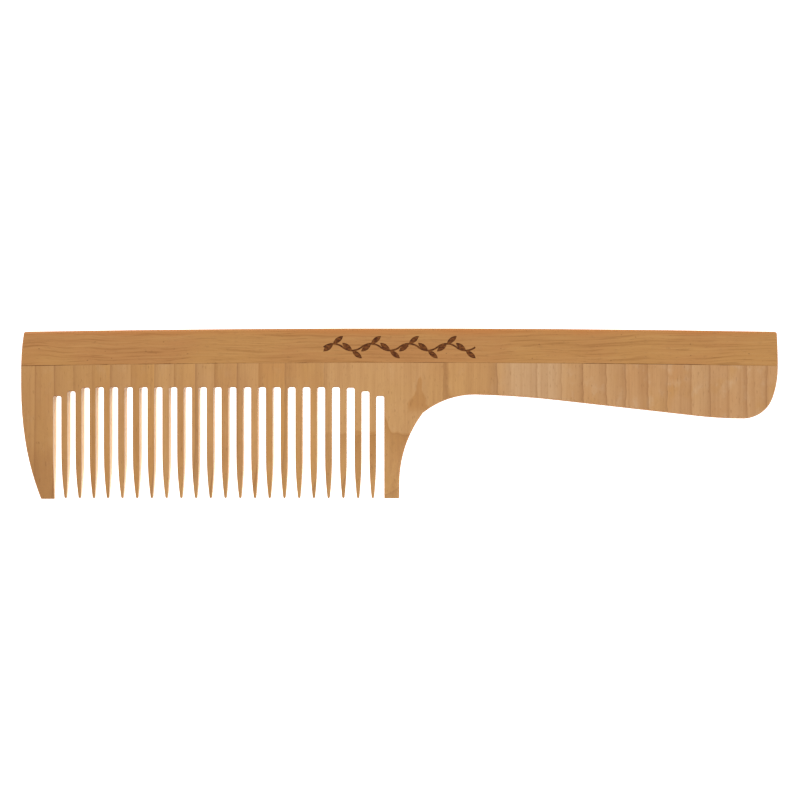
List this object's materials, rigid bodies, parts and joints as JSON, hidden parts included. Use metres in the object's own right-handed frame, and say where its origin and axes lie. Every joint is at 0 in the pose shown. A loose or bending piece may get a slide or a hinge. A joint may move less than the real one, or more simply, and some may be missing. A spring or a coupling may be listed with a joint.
{
  "type": "handled wooden comb",
  "caption": "Wide-tooth wooden comb with a straight handle: a long-grain spine strip glued along a cross-grain board that carries the teeth.",
  "frame": {"origin": "under the middle of the comb's bounding box, on the back face it lies on", "axes": "+X along the comb from its free end to the end of the handle, +Y from the tooth tips to the spine, +Z out of the front face"},
  "size_m": [0.2, 0.0452, 0.006],
  "materials": {
    "board_wood": "oiled, satin, grain along the teeth",
    "spine_wood": "oiled, satin, grain along the comb",
    "glue": "dried wood glue, sanded flush"
  },
  "bodies": {
    "root": {"tooth_board": "board_wood", "spine_strip": "spine_wood", "glue_line": "glue"}
  },
  "joints": []
}
